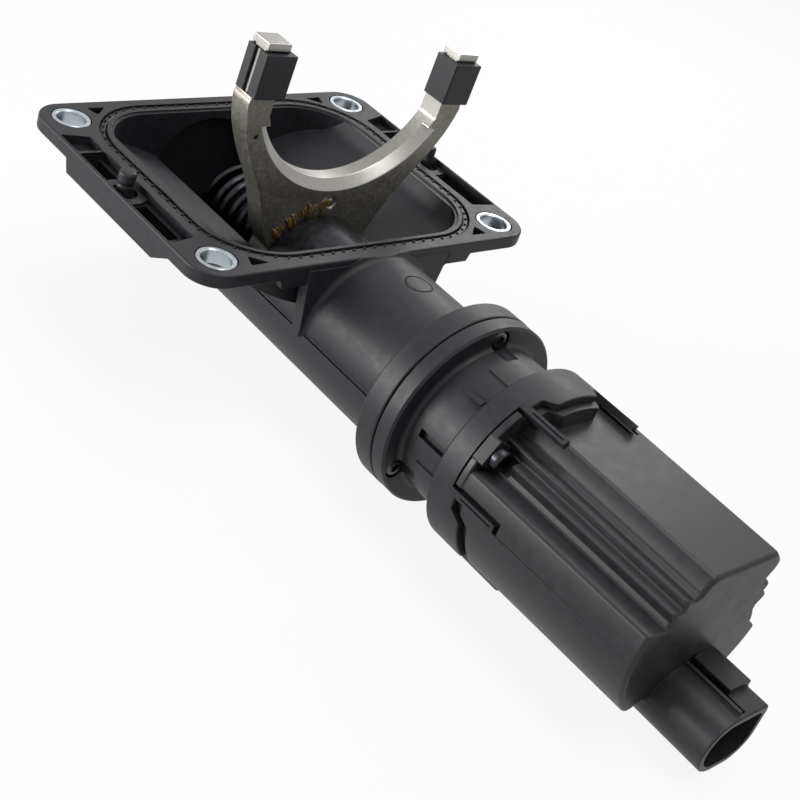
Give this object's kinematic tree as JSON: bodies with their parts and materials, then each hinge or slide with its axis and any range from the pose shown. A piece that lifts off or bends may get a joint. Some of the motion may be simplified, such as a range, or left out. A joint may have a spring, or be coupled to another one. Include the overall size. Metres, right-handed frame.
{
  "type": "axle shift actuator",
  "caption": "Electric axle shift actuator: flanged bowl housing, two-armed shift fork on a lead screw, geared motor under a fluted cover with a connector.",
  "frame": {"origin": "centre of the flange's mating face, in the middle of the bolt rectangle", "axes": "+Z out of the mating face, along the fork's arms; +X along the tube towards the motor's connector; +Y to the side of the fork"},
  "size_m": [0.266, 0.132, 0.1091],
  "materials": {
    "black_nylon": "moulded glass-filled nylon, satin",
    "cover_plastic": "moulded plastic, satin",
    "rubber": "moulded rubber",
    "fork_steel": "sintered, ground on its land",
    "zinc": "zinc plated",
    "oiled_steel": "black oxide, oiled",
    "bright_steel": "machined",
    "bronze": "machined bronze",
    "acetal": "moulded acetal",
    "ferrite": "sintered ferrite",
    "board": "glass-epoxy laminate",
    "tinned_brass": "tin plated"
  },
  "bodies": {
    "housing": {"housing": "black_nylon", "flange_gasket": "rubber", "compression_limiter_1": "zinc", "compression_limiter_2": "zinc", "compression_limiter_3": "zinc", "compression_limiter_4": "zinc", "gear_housing": "black_nylon", "flange_seal": "rubber", "plate_screw_1": "oiled_steel", "plate_screw_2": "oiled_steel", "plate_screw_3": "oiled_steel", "cover_screw_1": "oiled_steel", "cover_screw_2": "oiled_steel", "cover_screw_3": "oiled_steel", "ring_gear": "acetal", "bearing_outer_race": "bright_steel", "bearing_clip": "oiled_steel", "motor_cover": "cover_plastic", "cover_seal": "rubber", "motor_can": "zinc", "motor_magnet": "ferrite", "motor_end_cap": "cover_plastic", "circuit_board": "board", "terminal_1": "tinned_brass", "terminal_2": "tinned_brass", "terminal_3": "tinned_brass", "terminal_4": "tinned_brass"},
    "screw": {"lead_screw": "bright_steel", "planet_carrier": "bright_steel", "bearing_inner_race": "bright_steel"},
    "ball_cage": {"bearing_ball_cage": "bright_steel"},
    "planet_1": {"planet_gear_1": "acetal"},
    "planet_2": {"planet_gear_2": "acetal"},
    "planet_3": {"planet_gear_3": "acetal"},
    "rotor": {"motor_armature": "bright_steel", "sun_gear": "bright_steel"},
    "sleeve": {"shift_sleeve": "oiled_steel", "sleeve_o_ring": "rubber", "lead_nut": "bronze", "nut_circlip": "oiled_steel", "fork_spring": "oiled_steel", "spring_washer": "oiled_steel", "tail_clip": "oiled_steel"},
    "bush": {"fork_bush": "bronze"},
    "fork": {"shift_fork": "fork_steel", "fork_pad_left": "black_nylon", "fork_pad_right": "black_nylon"}
  },
  "joints": [
    {"name": "screw_spin", "type": "hinge", "parent": "housing", "child": "screw", "pos_m": [0, 0, -0.024], "axis": [1, 0, 0], "range_deg": [0, 1080]},
    {"name": "cage_spin", "type": "hinge", "parent": "housing", "child": "ball_cage", "pos_m": [0, 0, -0.024], "axis": [1, 0, 0], "range_deg": [0, 412]},
    {"name": "motor_spin", "type": "hinge", "parent": "housing", "child": "rotor", "pos_m": [0, 0, -0.024], "axis": [1, 0, 0], "range_deg": [0, 5400]},
    {"name": "planet_spin_1", "type": "hinge", "parent": "screw", "child": "planet_1", "pos_m": [0, 0.012, -0.024], "axis": [1, 0, 0], "range_deg": [-2881, 0]},
    {"name": "planet_spin_2", "type": "hinge", "parent": "screw", "child": "planet_2", "pos_m": [0, -0.006, -0.01361], "axis": [1, 0, 0], "range_deg": [-2881, 0]},
    {"name": "planet_spin_3", "type": "hinge", "parent": "screw", "child": "planet_3", "pos_m": [0, -0.006, -0.03439], "axis": [1, 0, 0], "range_deg": [-2881, 0]},
    {"name": "fork_travel", "type": "slide", "parent": "housing", "child": "sleeve", "axis": [1, 0, 0], "range_m": [-0.012, 0]},
    {"name": "fork_yield", "type": "slide", "parent": "sleeve", "child": "bush", "axis": [1, 0, 0], "range_m": [-0.008, 0], "stiffness_N_per_m": 1500, "springref_m": 0.008, "deforming": ["fork_spring"]},
    {"name": "fork_swing", "type": "hinge", "parent": "bush", "child": "fork", "pos_m": [0, 0, -0.024], "axis": [1, 0, 0], "range_deg": [0, 7]}
  ],
  "couplings": [
    {"joint": "screw_spin", "follows": "fork_travel", "rad_per_m": -1570.8},
    {"joint": "cage_spin", "follows": "fork_travel", "rad_per_m": -593.45},
    {"joint": "motor_spin", "follows": "fork_travel", "rad_per_m": -7854},
    {"joint": "planet_spin_1", "follows": "fork_travel", "rad_per_m": 4188.8},
    {"joint": "planet_spin_2", "follows": "fork_travel", "rad_per_m": 4188.8},
    {"joint": "planet_spin_3", "follows": "fork_travel", "rad_per_m": 4188.8}
  ]
}
